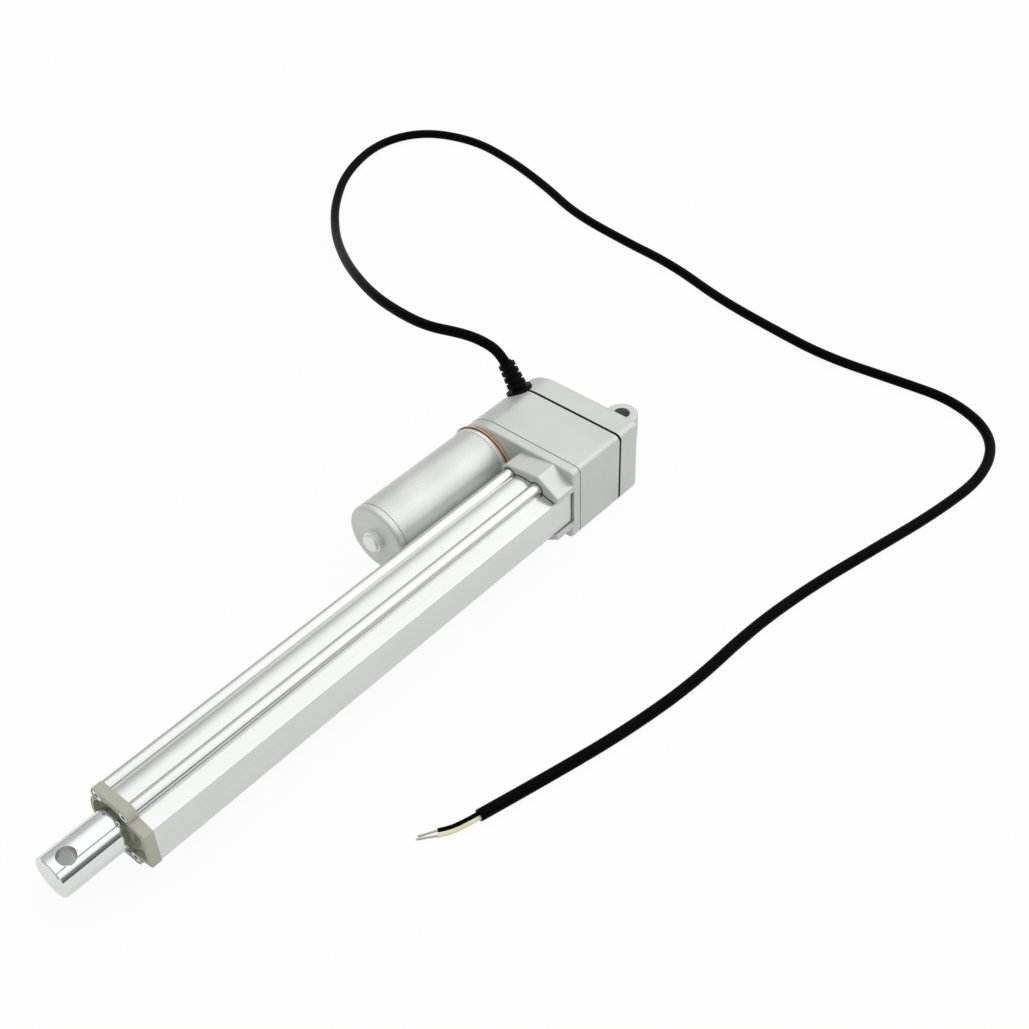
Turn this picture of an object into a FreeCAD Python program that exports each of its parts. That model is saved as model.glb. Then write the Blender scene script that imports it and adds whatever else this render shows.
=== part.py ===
import FreeCAD, Part
import math
import os
import Sketcher
from types import SimpleNamespace

# An electric linear actuator: a lead screw in an extruded tube, driven through two gear stages
# by a motor that lies beside the tube, with an eye at each end and a free power cable.
# +X runs out along the rod, +Z is up, the motor is on the -Y side, and the origin is the
# centre of the rear eye. The rod is drawn fully in.

# Driving dimensions in millimetres, degrees and tooth counts.
SIZES = [
    # Overall lengths along the rod, from the rear eye forwards
    ("ear_reach", 13.4),            # rear eye to the back of the rear cover
    ("cover_length", 14.95),
    ("gasket_thickness", 1.5),
    ("housing_length", 30.75),
    ("joint_thickness", 0.5),       # paper gasket between housing and flange
    ("flange_thickness", 5.3),
    ("collar_length", 12.3),
    ("tube_over_stroke", 8.9),      # tube longer than the stroke
    ("cap_thickness", 5.2),
    ("rod_overhang", 32.5),         # rod standing out of the front cap
    ("stroke", 254.0),
    # Gear head outline, seen along the rod
    ("head_over_tube", 5.65),       # gear head above the round of the tube
    ("head_right", 21.7),           # screw axis to the side away from the motor
    ("head_beyond_motor", 17.2),    # motor axis to the rounded end
    ("head_corner", 3.4),
    ("head_wall", 3.0),
    ("cover_back_wall", 4.0),
    ("cover_back_round", 3.2),
    ("flange_front_round", 1.0),
    ("screw_boss_radius", 3.6),
    ("boss_inset", 5.1),            # housing screws from the outer faces, by the corners
    ("boss_left_shift", 5.0),       # left pair of housing screws, from the motor axis
    # Rear eye
    ("ear_radius", 8.6),
    ("ear_thickness", 15.0),
    ("ear_round", 1.3),
    ("eye_radius", 4.25),           # both eyes take an 8 mm pin
    ("eye_from_tip", 8.0),
    ("rod_turn", 16.5),             # the free rod stands turned by this angle about its axis
    # Tube section, seen along the rod
    ("tube_round_wall", 3.7),       # round part, bore to outside
    ("bead_radius", 3.5),           # beads around the screw ports, centred on the round
    ("bead_angle", 32.6),           # beads from the upright, about the rod
    ("tube_side", 20.3),            # flat side of the box for the switches
    ("shoulder_height", 9.8),       # half height of the flat side
    ("roof_height", 12.7),          # half height of the box where it meets the beads
    ("edge_round", 0.5),
    ("pocket_half_height", 6.2),
    ("tube_wall", 2.0),
    # Collar jaws on the flange
    ("collar_top", 21.2),
    ("collar_flat", 9.1),           # screw axis to the highest edge
    ("collar_slope_end", 13.6),     # height where the slope ends at the side
    ("collar_left", 14.2),
    ("collar_left_top", 18.5),      # the top falls to this height on the motor side
    ("collar_chamfer", 3.0),
    ("collar_edge_round", 1.1),
    ("collar_clearance", 0.5),
    ("tube_end_gap", 0.9),          # open groove behind the tube's flat side
    ("tube_end_groove", 6.0),       # its depth, from the flat side
    # Front cap, bush and wiper
    ("cap_lip", 0.2),
    ("cap_rim", 2.2),
    ("cap_recess", 2.6),
    ("bush_length", 15.0),
    ("bush_wall", 2.25),            # rod to tube bore
    ("wiper_wall", 2.6),
    ("wiper_depth", 1.6),
    ("wiper_lip", 0.7),
    ("running_gap", 0.05),
    # Rod, nut and screw
    ("rod_radius", 10.0),
    ("rod_wall", 2.0),
    ("rod_solid_end", 27.0),
    ("rod_chamfer", 0.5),
    ("nut_length", 13.0),
    ("nut_gap", 0.3),               # nut to tube bore
    ("nut_spigot", 9.0),
    ("nut_ring_depth", 0.8),
    ("nut_ring_length", 6.0),
    ("nut_ring_gap", 0.1),
    ("screw_radius", 5.0),
    ("nut_stop_gap", 2.0),          # nut to bush when the rod is out
    ("screw_past_nut", 1.0),        # nut to the screw's tip guide when the rod is out
    ("journal_radius", 4.0),
    ("guide_length", 6.0),
    ("guide_gap", 0.4),
    # Screw bearing, as a 22 x 8 x 7 ball bearing
    ("bearing_radius", 11.0),
    ("bearing_width", 7.0),
    ("bearing_seat_step", 2.6),
    ("race_thickness", 2.0),
    ("ball_groove_depth", 0.4),
    ("ball_count", 7),
    ("ball_gap", 0.06),
    ("seat_wall", 2.6),
    ("retainer_thickness", 1.2),
    ("retainer_width", 1.8),
    ("clip_thickness", 1.2),
    ("clip_width", 2.2),
    # Gears
    ("stage_one_module", 1.0),
    ("pinion_teeth", 10),
    ("wheel_teeth", 26),
    ("stage_two_module", 1.25),
    ("layshaft_teeth", 12),
    ("screw_gear_teeth", 20),
    ("pressure_angle", 22.0),
    ("backlash", 0.35),
    ("screw_gear_width", 8.0),
    ("wheel_width", 5.0),
    ("pinion_width", 7.0),
    ("gear_gap", 0.6),
    ("layshaft_radius", 2.5),
    ("spacer_wall", 1.6),
    ("axle_seat", 5.0),
    ("axle_boss_wall", 2.2),
    # Motor
    ("motor_radius", 18.0),
    ("motor_length", 70.45),        # can, between its two end plates
    ("can_wall", 1.0),
    ("seal_ring_thickness", 1.8),
    ("seal_ring_radius", 19.2),
    ("seal_ring_width", 2.6),
    ("bell_thickness", 2.1),
    ("bell_radius", 18.5),
    ("bell_round", 0.6),
    ("end_cap_thickness", 4.2),
    ("end_cap_round", 2.2),
    ("end_cap_spigot", 2.6),
    ("can_groove", 0.35),           # open joint between can and end cap
    ("boss_radius", 5.4),
    ("boss_height", 2.4),
    ("boss_tip_radius", 4.6),
    ("boss_tip_height", 2.0),
    ("boss_tip_round", 0.6),
    ("spigot_radius", 6.5),
    ("shaft_radius", 2.0),
    ("shaft_bush_wall", 1.9),
    ("magnet_thickness", 1.9),
    ("magnet_length", 44.0),
    ("magnet_slot", 9.0),
    ("air_gap", 0.7),
    ("core_length", 36.0),
    ("winding_length", 6.0),
    ("commutator_radius", 6.0),
    ("commutator_length", 9.0),
    ("brush_width", 4.0),
    ("brush_length", 5.0),
    ("holder_thickness", 3.0),
    ("motor_screw_circle", 12.5),
    # Screws
    ("screw_shank", 1.5),
    ("screw_head_radius", 2.75),
    ("screw_head_height", 2.4),
    ("screw_socket", 1.25),
    ("screw_socket_depth", 1.3),
    ("screw_clearance", 0.2),
    ("head_relief", 0.05),          # room about the heads inside the gear head
    ("screw_grip", 8.0),            # length held in the threads
    # Limit switches
    ("board_thickness", 1.5),
    ("board_half_width", 5.0),
    ("board_margin", 14.0),
    ("switch_length", 13.0),
    ("switch_half_width", 3.2),
    ("switch_gap", 0.5),
    # Cable and its boot
    ("boot_angle", 57.0),           # above the horizontal, square to the rounded end
    ("boot_flange_radius", 7.2),
    ("boot_flange_thickness", 2.2),
    ("boot_sink", 1.2),
    ("boot_root_radius", 4.2),
    ("boot_tip_radius", 3.3),
    ("boot_rib_height", 1.0),
    ("boot_rib_pitch", 3.6),
    ("boot_rib_count", 4),
    ("boot_neck_radius", 4.5),
    ("boot_inner_flange", 1.6),
    ("boot_socket", 6.0),
    ("cable_straight", 5.5),        # straight run of cable out of the boot
    ("cable_radius", 2.8),
    ("wire_radius", 0.95),
    ("core_gap", 0.15),             # half the gap between the cores at the sheath's end
    ("core_straight", 5.5),
    ("tip_radius", 0.55),
    ("tip_length", 9.0),
]

# Points of the cable's route, from the boot to the stripped end, and of its two cores.
CABLE_ROUTE = [
    (33.3, -67.6, 42.6), (37.6, -78.3, 44.6), (42.9, -97.9, 43), (40.3, -125, 40.9),
    (30.7, -152.2, 35.1), (9.6, -190, 23), (-20.8, -232.2, 3.4), (-50.4, -269.5, -12.5),
    (-79.3, -300.2, -18.8), (-112.2, -323.2, -18.8), (-153, -334.3, -18.8), (-185, -321.1, -18.8),
    (-198.4, -285.3, -18.8), (-193.7, -246.6, -18.8), (-182.4, -205.6, -18.8), (-168.8, -170.4, -18.8),
    (-163, -126.2, -18.8), (-160, -84.7, -18.8), (-148.5, -41.6, -18.8), (-143, 0.6, -18.8),
    (-139.4, 39, -18.8), (-145.3, 81.1, -18.8), (-149.4, 115.6, -18.8), (-135.6, 146.6, -18.8),
    (-104.1, 158.5, -18.8), (-62.2, 153, -18.8), (-17.3, 142.5, -18.8), (19.9, 133.8, -18.8),
    (61.1, 127.5, -18.8), (108.1, 126.3, -18.8), (149.6, 119.8, -18.8), (189.5, 110.1, -18.8),
    (225.2, 100.4, -18.8),
]
CORE_ROUTES = {
    "cable_core_black": [(236.3, 94.6, -20.4), (241.2, 91.3, -20.4)],
    "cable_core_white": [(237.9, 96.6, -20.4), (243.5, 92.9, -20.4)],
}


class Size:
    # A length that carries its number and its formula over the sheet's cells.
    def __init__(self, number, formula):
        self.number = number
        self.formula = formula

    def joined(self, other, sign, number):
        return Size(number, "(%s %s %s)" % (self.formula, sign, other.formula))

    def __add__(self, other):
        other = as_size(other)
        return self.joined(other, "+", self.number + other.number)

    def __radd__(self, other):
        return as_size(other) + self

    def __sub__(self, other):
        other = as_size(other)
        return self.joined(other, "-", self.number - other.number)

    def __rsub__(self, other):
        return as_size(other) - self

    def __mul__(self, other):
        other = as_size(other)
        return self.joined(other, "*", self.number * other.number)

    def __rmul__(self, other):
        return as_size(other) * self

    def __truediv__(self, other):
        other = as_size(other)
        return self.joined(other, "/", self.number / other.number)

    def __neg__(self):
        return as_size(0) - self


def as_size(value):
    if isinstance(value, Size):
        return value
    return Size(float(value), repr(float(value)))


doc = FreeCAD.newDocument("linear_actuator")
sheet = doc.addObject("Spreadsheet::Sheet", "Sizes")
for row, (alias, value) in enumerate(SIZES, start=1):
    sheet.set("A%d" % row, alias)
    sheet.set("B%d" % row, str(value))
    sheet.setAlias("B%d" % row, alias)
doc.recompute()
d = SimpleNamespace(**{alias: Size(float(sheet.get(alias)), "Sizes." + alias) for alias, _ in SIZES})

sub_parts = []

# Sizes that follow from others

tube_bore = d.rod_radius + d.bush_wall
tube_round = tube_bore + d.tube_round_wall
port_across = tube_round * round(math.sin(math.radians(d.bead_angle.number)), 6)
port_height = tube_round * round(math.cos(math.radians(d.bead_angle.number)), 6)
head_half_height = tube_round + d.head_over_tube
wiper_radius = d.rod_radius + d.wiper_wall
rod_bore = d.rod_radius - d.rod_wall
ball_radius = (d.bearing_radius - d.journal_radius) / 2 - d.race_thickness + d.ball_groove_depth
tube_length = d.stroke + d.tube_over_stroke


# Sketches

def sketch_on(body, name, role, offset):
    sketch = body.newObject("Sketcher::SketchObject", name)
    plane = next(item for item in body.Origin.OriginFeatures if item.Role == role)
    sketch.AttachmentSupport = [(plane, "")]
    sketch.MapMode = "FlatFace"
    sketch.setExpression("AttachmentOffset.Base.z", as_size(offset).formula)
    return sketch


def pin_point(sketch, geometry, vertex, place):
    for kind, size in zip(("DistanceX", "DistanceY"), place):
        size = as_size(size)
        index = sketch.addConstraint(
            Sketcher.Constraint(kind, -1, 1, geometry, vertex, size.number))
        sketch.setExpression("Constraints[%d]" % index, size.formula)


def polygon(*corners):
    def draw(sketch):
        points = [FreeCAD.Vector(as_size(a).number, as_size(b).number, 0) for a, b in corners]
        first = sketch.GeometryCount
        count = len(points)
        for i in range(count):
            sketch.addGeometry(Part.LineSegment(points[i], points[(i + 1) % count]))
        for i in range(count):
            after = first + (i + 1) % count
            sketch.addConstraint(Sketcher.Constraint("Coincident", first + i, 2, after, 1))
        for i in range(count):
            pin_point(sketch, first + i, 1, corners[i])
    return draw


def rectangle(left, right, low, high):
    return polygon((left, low), (right, low), (right, high), (left, high))


def circle(across, up, radius):
    def draw(sketch):
        across_size, up_size, radius_size = map(as_size, (across, up, radius))
        centre = FreeCAD.Vector(across_size.number, up_size.number, 0)
        normal = FreeCAD.Vector(0, 0, 1)
        index = sketch.addGeometry(Part.Circle(centre, normal, radius_size.number))
        pin_point(sketch, index, 3, (across_size, up_size))
        radius_index = sketch.addConstraint(
            Sketcher.Constraint("Radius", index, radius_size.number))
        sketch.setExpression("Constraints[%d]" % radius_index, radius_size.formula)
    return draw


# Features

def new_body(label, across=0, forward=0):
    body = doc.addObject("PartDesign::Body", label)
    body.Label = label
    body.AllowCompound = True
    body.setExpression("Placement.Base.x", as_size(forward).formula)
    body.setExpression("Placement.Base.y", as_size(across).formula)
    sub_parts.append(body)
    return body


def add_prism(body, name, shapes, start, end, cut=False):
    sketch = sketch_on(body, name + "_sketch", "YZ_Plane", start)
    for draw in shapes:
        draw(sketch)
    feature = body.newObject("PartDesign::Pocket" if cut else "PartDesign::Pad", name)
    feature.Profile = sketch
    feature.setExpression("Length", (as_size(end) - start).formula)
    feature.Reversed = cut
    return feature


def cut_prism(body, name, shapes, start, end):
    return add_prism(body, name, shapes, start, end, cut=True)


def add_turned(body, name, outline, cut=False):
    sketch = sketch_on(body, name + "_sketch", "XY_Plane", 0)
    outline(sketch)
    feature = body.newObject("PartDesign::Groove" if cut else "PartDesign::Revolution", name)
    feature.Profile = sketch
    feature.ReferenceAxis = (sketch, ["H_Axis"])
    feature.Angle = 360
    return feature


def turned(label, *corners, across=0, forward=0):
    body = new_body(label, across, forward)
    add_turned(body, label + "_turn", polygon(*corners))
    return body


def cylinder_outline(back, front, inner, outer):
    return ((back, inner), (front, inner), (front, outer), (back, outer))


def round_edges(body, name, radius, chosen):
    doc.recompute()
    base = body.Tip
    names = ["Edge%d" % i for i, edge in enumerate(base.Shape.Edges, start=1) if chosen(edge)]
    feature = body.newObject("PartDesign::Fillet", name)
    feature.Base = (base, names)
    feature.setExpression("Radius", radius.formula)
    return feature


def near(a, b):
    return abs(a - as_size(b).number) < 0.01


def along_rod(edge, across, up):
    box = edge.BoundBox
    flat = box.YLength < 0.01 and box.ZLength < 0.01
    return flat and near(abs(box.Center.y), across) and near(abs(box.Center.z), up)


def in_plane_x(edge, place):
    box = edge.BoundBox
    return box.XLength < 0.01 and near(box.Center.x, place)


# Places along the rod

cover_front = d.ear_reach + d.cover_length
housing_back = cover_front + d.gasket_thickness
housing_front = housing_back + d.housing_length
flange_back = housing_front + d.joint_thickness
flange_front = flange_back + d.flange_thickness
collar_front = flange_front + d.collar_length
tube_front = flange_front + tube_length
cap_front = tube_front + d.cap_thickness
cap_floor = cap_front - d.cap_recess
rod_tip = cap_front + d.rod_overhang
rod_eye = rod_tip - d.eye_from_tip
cover_floor = d.ear_reach + d.cover_back_wall
bearing_back = cover_floor + d.bearing_seat_step
bearing_front = bearing_back + d.bearing_width

# Gear axes across the head, from the screw towards the motor

layshaft_axis = -(d.stage_two_module * (d.screw_gear_teeth + d.layshaft_teeth) / 2)
motor_axis = layshaft_axis - d.stage_one_module * (d.wheel_teeth + d.pinion_teeth) / 2
head_end = motor_axis - d.head_beyond_motor
head_round_centre = head_end + head_half_height

boss_height = head_half_height - d.boss_inset
boss_right = d.head_right - d.boss_inset
boss_left = motor_axis + d.boss_left_shift
boss_places = [(a, b) for a in (boss_right, boss_left) for b in (boss_height, -boss_height)]
port_places = [(a, b) for a in (port_across, -port_across) for b in (port_height, -port_height)]
motor_screw_places = [(motor_axis, d.motor_screw_circle), (motor_axis, -d.motor_screw_circle)]


# Gear head: four pieces that share one outline

def head_rectangle(inset):
    return rectangle(head_round_centre, d.head_right - inset,
                     inset - head_half_height, head_half_height - inset)


def head_circle(inset):
    return circle(head_round_centre, 0, head_half_height - inset)


def add_head_block(body, label, back, front):
    add_prism(body, label + "_block", [head_rectangle(0)], back, front)
    add_prism(body, label + "_round_end", [head_circle(0)], back, front)
    round_edges(body, label + "_corners", d.head_corner,
                lambda edge: along_rod(edge, d.head_right, head_half_height))


def hollow_head(body, label, back, front):
    cut_prism(body, label + "_hollow", [head_rectangle(d.head_wall)], back, front)
    cut_prism(body, label + "_round_hollow", [head_circle(d.head_wall)], back, front)


def on_head_outline(edge):
    box = edge.BoundBox
    return max(box.YMax, abs(box.ZMin), box.ZMax) > d.head_right.number - d.head_corner.number


def circles(places, radius):
    return [circle(a, b, radius) for a, b in places]


boot_direction = FreeCAD.Vector(
    0, -math.cos(math.radians(d.boot_angle.number)), math.sin(math.radians(d.boot_angle.number)))
boot_centre = FreeCAD.Vector((cover_front + d.gasket_thickness / 2).number, head_round_centre.number, 0)


def on_boot_axis(height):
    return boot_centre + boot_direction * height


def cut_boot_seat(body, label):
    seats = (
        ("_boot_hole", d.boot_neck_radius, head_half_height - 2 * d.head_wall),
        ("_boot_face", d.boot_flange_radius, head_half_height - d.boot_sink),
    )
    for name, radius, height in seats:
        hole = body.newObject("PartDesign::SubtractiveCylinder", label + name)
        hole.setExpression("Radius", radius.formula)
        hole.setExpression("Height", head_half_height.formula)
        hole.Placement = FreeCAD.Placement(
            on_boot_axis(height.number), FreeCAD.Rotation(FreeCAD.Vector(0, 0, 1), boot_direction))


def add_rear_ear(body):
    half = d.ear_thickness / 2
    ear = body.newObject("PartDesign::AdditiveCylinder", "ear_round")
    ear.setExpression("Radius", d.ear_radius.formula)
    ear.setExpression("Height", d.ear_thickness.formula)
    ear.setExpression("Placement.Base.z", (-half).formula)
    add_prism(body, "ear_block", [rectangle(-d.ear_radius, d.ear_radius, -half, half)], 0, cover_floor)
    round_edges(body, "ear_edges", d.ear_round,
                lambda edge: edge.BoundBox.ZLength < 0.01 and edge.BoundBox.XLength > 0.01)


def make_rear_cover():
    body = new_body("rear_cover")
    add_rear_ear(body)
    add_head_block(body, "cover", d.ear_reach, cover_front)
    round_edges(body, "cover_back_edges", d.cover_back_round,
                lambda edge: in_plane_x(edge, d.ear_reach) and on_head_outline(edge))
    hollow_head(body, "cover", cover_floor, cover_front)
    seat_radius = d.bearing_radius + d.seat_wall
    add_prism(body, "cover_bearing_seat", [circle(0, 0, seat_radius)], cover_floor, cover_front)
    add_prism(body, "cover_screw_bosses", circles(boss_places, d.screw_boss_radius),
              cover_floor, cover_front)
    axle_boss = d.layshaft_radius + d.axle_boss_wall
    add_prism(body, "cover_axle_boss", [circle(layshaft_axis, 0, axle_boss)],
              cover_floor, cover_floor + d.axle_seat)
    eye = body.newObject("PartDesign::SubtractiveCylinder", "cover_eye")
    eye.setExpression("Radius", d.eye_radius.formula)
    eye.setExpression("Height", (d.ear_thickness * 2).formula)
    eye.setExpression("Placement.Base.z", (-d.ear_thickness).formula)
    shoulder = d.bearing_radius - d.race_thickness
    cut_prism(body, "cover_bearing_shoulder", [circle(0, 0, shoulder)],
              cover_floor, cover_front)
    cut_prism(body, "cover_bearing_bore", [circle(0, 0, d.bearing_radius)], bearing_back, cover_front)
    cut_prism(body, "cover_axle_hole", [circle(layshaft_axis, 0, d.layshaft_radius)],
              cover_floor, cover_front)
    cut_prism(body, "cover_screw_holes",
              circles(boss_places, d.screw_shank + d.screw_clearance), d.ear_reach, cover_front)
    cut_prism(body, "cover_screw_heads",
              circles(boss_places, d.screw_head_radius + d.screw_clearance),
              d.ear_reach, d.ear_reach + d.screw_head_height)
    cut_boot_seat(body, "cover")


def make_cover_gasket():
    body = new_body("cover_gasket")
    add_head_block(body, "gasket", cover_front, housing_back)
    hollow_head(body, "gasket", cover_front, housing_back)
    add_prism(body, "gasket_bosses", circles(boss_places, d.screw_boss_radius),
              cover_front, housing_back)
    cut_prism(body, "gasket_screw_holes",
              circles(boss_places, d.screw_shank + d.screw_clearance), cover_front, housing_back)
    cut_boot_seat(body, "gasket")


def make_gear_housing():
    body = new_body("gear_housing")
    add_head_block(body, "housing", housing_back, housing_front)
    hollow_head(body, "housing", housing_back, housing_front)
    add_prism(body, "housing_screw_bosses", circles(boss_places, d.screw_boss_radius),
              housing_back, housing_front)
    cut_prism(body, "housing_screw_holes",
              circles(boss_places, d.screw_shank + d.screw_clearance), housing_back, housing_front)
    cut_prism(body, "housing_head_relief", circles(motor_screw_places, d.screw_head_radius + d.head_relief),
              flange_back - d.screw_head_height - d.screw_clearance, housing_front)
    cut_boot_seat(body, "housing")


def make_joint_gasket():
    body = new_body("flange_gasket")
    add_head_block(body, "joint", housing_front, flange_back)
    hollow_head(body, "joint", housing_front, flange_back)
    add_prism(body, "joint_bosses", circles(boss_places, d.screw_boss_radius),
              housing_front, flange_back)
    cut_prism(body, "joint_screw_holes",
              circles(boss_places, d.screw_shank + d.screw_clearance), housing_front, flange_back)
    cut_prism(body, "joint_head_relief", circles(motor_screw_places, d.screw_head_radius + d.head_relief),
              housing_front, flange_back)


def tube_section(extra):
    # A round tube with four beads, and a box along the side away from the motor.
    right = d.tube_side + extra
    shoulder = d.shoulder_height + extra
    roof = d.roof_height + extra
    box = polygon((port_across, -roof), (right, -shoulder), (right, shoulder), (port_across, roof))
    return {"_round": [circle(0, 0, tube_round + extra)],
            "_beads": circles(port_places, d.bead_radius + extra),
            "_box": [box]}


def make_front_flange():
    body = new_body("front_flange")
    add_head_block(body, "flange", flange_back, flange_front)
    round_edges(body, "flange_front_edges", d.flange_front_round,
                lambda edge: in_plane_x(edge, flange_front))
    upper = [(-d.collar_left, d.collar_left_top - d.collar_chamfer),
             (d.collar_chamfer - d.collar_left, d.collar_left_top),
             (d.collar_flat, d.collar_top), (d.head_right, d.collar_slope_end)]
    lower = [(across, -up) for across, up in reversed(upper)]
    add_prism(body, "flange_jaws", [polygon(*upper, *lower)], flange_front, collar_front)
    gap = d.shoulder_height + d.collar_clearance
    beyond = d.head_right + d.head_corner
    cut_prism(body, "flange_jaw_gap", [rectangle(port_across, beyond, -gap, gap)],
              flange_front, collar_front)
    cut_prism(body, "flange_jaw_gap_motor_side", [rectangle(-beyond, -port_across, -gap, gap)],
              flange_front, collar_front)
    for name, shapes in tube_section(d.collar_clearance).items():
        cut_prism(body, "flange_seat" + name, shapes, flange_front, collar_front)
    round_edges(body, "flange_jaw_edges", d.collar_edge_round,
                lambda edge: in_plane_x(edge, collar_front) and is_jaw_outside(edge))
    cut_prism(body, "flange_end_groove",
              [rectangle(d.tube_side - d.tube_end_groove, beyond, -d.shoulder_height, d.shoulder_height)],
              flange_front - d.tube_end_gap, flange_front)
    cut_prism(body, "flange_screw_opening", [circle(0, 0, tube_bore + d.nut_gap)],
              flange_back, flange_front)
    cut_prism(body, "flange_motor_hole", [circle(motor_axis, 0, d.spigot_radius)],
              flange_back, flange_front)
    cut_prism(body, "flange_axle_hole", [circle(layshaft_axis, 0, d.layshaft_radius)],
              flange_back, flange_back + d.flange_thickness * 3 / 4)
    cut_prism(body, "flange_threads", circles(boss_places, d.screw_shank),
              flange_back, flange_back + d.flange_thickness * 3 / 4)
    clear = d.screw_shank + d.screw_clearance
    cut_prism(body, "flange_tube_screw_holes", circles(port_places, clear), flange_back, flange_front)
    cut_prism(body, "flange_motor_screw_holes", circles(motor_screw_places, clear),
              flange_back, flange_front)


def is_jaw_outside(edge):
    return abs(edge.BoundBox.Center.z) > (tube_round + d.collar_clearance).number


# Tube and front end

def make_outer_tube():
    body = new_body("outer_tube")
    for name, shapes in tube_section(as_size(0)).items():
        add_prism(body, "tube" + name, shapes, flange_front, tube_front)
    round_edges(body, "tube_box_edges", d.edge_round,
                lambda edge: along_rod(edge, d.tube_side, d.shoulder_height))
    cut_prism(body, "tube_bore", [circle(0, 0, tube_bore)], flange_front, tube_front)
    height = d.pocket_half_height
    cut_prism(body, "tube_switch_pocket", [rectangle(0, d.tube_side - d.tube_wall, -height, height)],
              flange_front, tube_front)
    cut_prism(body, "tube_screw_ports", circles(port_places, d.screw_shank), flange_front, tube_front)


def make_front_cap():
    body = new_body("front_cap")
    for name, shapes in tube_section(d.cap_lip).items():
        add_prism(body, "cap" + name, shapes, tube_front, cap_front)
    flat_top = port_height + d.bead_radius + d.cap_lip
    add_prism(body, "cap_flat_top", [rectangle(-port_across, port_across, -flat_top, flat_top)],
              tube_front, cap_front)
    round_edges(body, "cap_front_edges", d.edge_round, lambda edge: in_plane_x(edge, cap_front))
    recess = tube_section(d.cap_lip - d.cap_rim)
    recess["_beads"] = circles(port_places, d.screw_head_radius + d.screw_clearance)
    for name, shapes in recess.items():
        cut_prism(body, "cap_recess" + name, shapes, cap_floor, cap_front)
    cut_prism(body, "cap_rod_hole", [circle(0, 0, d.rod_radius + d.nut_gap)], tube_front, cap_front)
    cut_prism(body, "cap_wiper_seat", [circle(0, 0, wiper_radius)], cap_floor - d.wiper_depth, cap_front)
    cut_prism(body, "cap_screw_holes", circles(port_places, d.screw_shank + d.screw_clearance),
              tube_front, cap_front)


def make_screws(label, places, seat, tip, head_back):
    # The head lies behind the seat for screws driven forwards, and in front of it otherwise.
    body = new_body(label)
    shank = (seat, tip) if head_back else (tip, seat)
    head_end = seat - d.screw_head_height if head_back else seat + d.screw_head_height
    head = (head_end, seat) if head_back else (seat, head_end)
    socket_floor = head_end + d.screw_socket_depth if head_back else head_end - d.screw_socket_depth
    socket = (head_end, socket_floor) if head_back else (socket_floor, head_end)
    add_prism(body, label + "_shanks", circles(places, d.screw_shank), *shank)
    add_prism(body, label + "_heads", circles(places, d.screw_head_radius), *head)
    cut_prism(body, label + "_sockets", [hexagon(a, b, d.screw_socket) for a, b in places], *socket)


def hexagon(across, up, radius):
    corners = []
    for i in range(6):
        angle = math.radians(60 * i)
        corners.append((across + radius * round(math.cos(angle), 6), up + radius * round(math.sin(angle), 6)))
    return polygon(*corners)


def make_front_end():
    bush_back = tube_front - d.bush_length
    rod_fit = d.rod_radius + d.running_gap
    turned("front_guide_bush",
           *cylinder_outline(bush_back, tube_front, rod_fit, tube_bore - d.running_gap))
    wiper_back = cap_floor - d.wiper_depth
    turned("rod_wiper_seal", (wiper_back, rod_fit + d.wiper_lip), (cap_floor - d.wiper_lip, rod_fit),
           (cap_floor, rod_fit), (cap_floor, wiper_radius), (wiper_back, wiper_radius))
    make_screws("front_cap_screws", port_places, cap_floor, tube_front - d.screw_grip, head_back=False)
    make_screws("tube_screws", port_places, flange_back, flange_front + d.screw_grip, head_back=True)
    make_screws("housing_screws", boss_places, d.ear_reach + d.screw_head_height,
                flange_back + d.flange_thickness / 2, head_back=True)
    make_screws("motor_screws", motor_screw_places, flange_back, flange_front + d.seal_ring_thickness
                + d.bell_thickness / 2, head_back=True)


# Rod, nut and screw

nut_front = tube_front - d.bush_length - d.nut_stop_gap - d.stroke
nut_back = nut_front - d.nut_length
guide_back = nut_front + d.nut_spigot + d.stroke + d.screw_past_nut
screw_front = guide_back + d.guide_length


def make_rod_group():
    bore_end = rod_tip - d.rod_solid_end
    rod = turned("rod", (nut_front, rod_bore), (bore_end, rod_bore), (bore_end + rod_bore / 2, 0),
                 (rod_tip, 0), (rod_tip, d.rod_radius - d.rod_chamfer),
                 (rod_tip - d.rod_chamfer, d.rod_radius), (nut_front, d.rod_radius))
    eye = rod.newObject("PartDesign::SubtractiveCylinder", "rod_eye")
    eye.setExpression("Radius", d.eye_radius.formula)
    eye.setExpression("Height", (d.rod_radius * 4).formula)
    turn = FreeCAD.Rotation(FreeCAD.Vector(1, 0, 0), -d.rod_turn.number)
    low_end = turn.multVec(FreeCAD.Vector(0, 0, -2 * d.rod_radius.number))
    eye.Placement = FreeCAD.Placement(FreeCAD.Vector(rod_eye.number, 0, 0) + low_end, turn)

    nut_radius = tube_bore - d.nut_gap
    ring_back = nut_back + (d.nut_length - d.nut_ring_length) / 2
    ring_front = ring_back + d.nut_ring_length
    groove = nut_radius - d.nut_ring_depth
    screw_fit = d.screw_radius + d.running_gap
    turned("drive_nut", (nut_back, screw_fit), (nut_front + d.nut_spigot, screw_fit),
           (nut_front + d.nut_spigot, rod_bore), (nut_front, rod_bore),
           (nut_front, nut_radius), (ring_front, nut_radius), (ring_front, groove),
           (ring_back, groove), (ring_back, nut_radius), (nut_back, nut_radius))
    turned("nut_wear_ring",
           *cylinder_outline(ring_back, ring_front, groove, tube_bore - d.nut_ring_gap))


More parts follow.
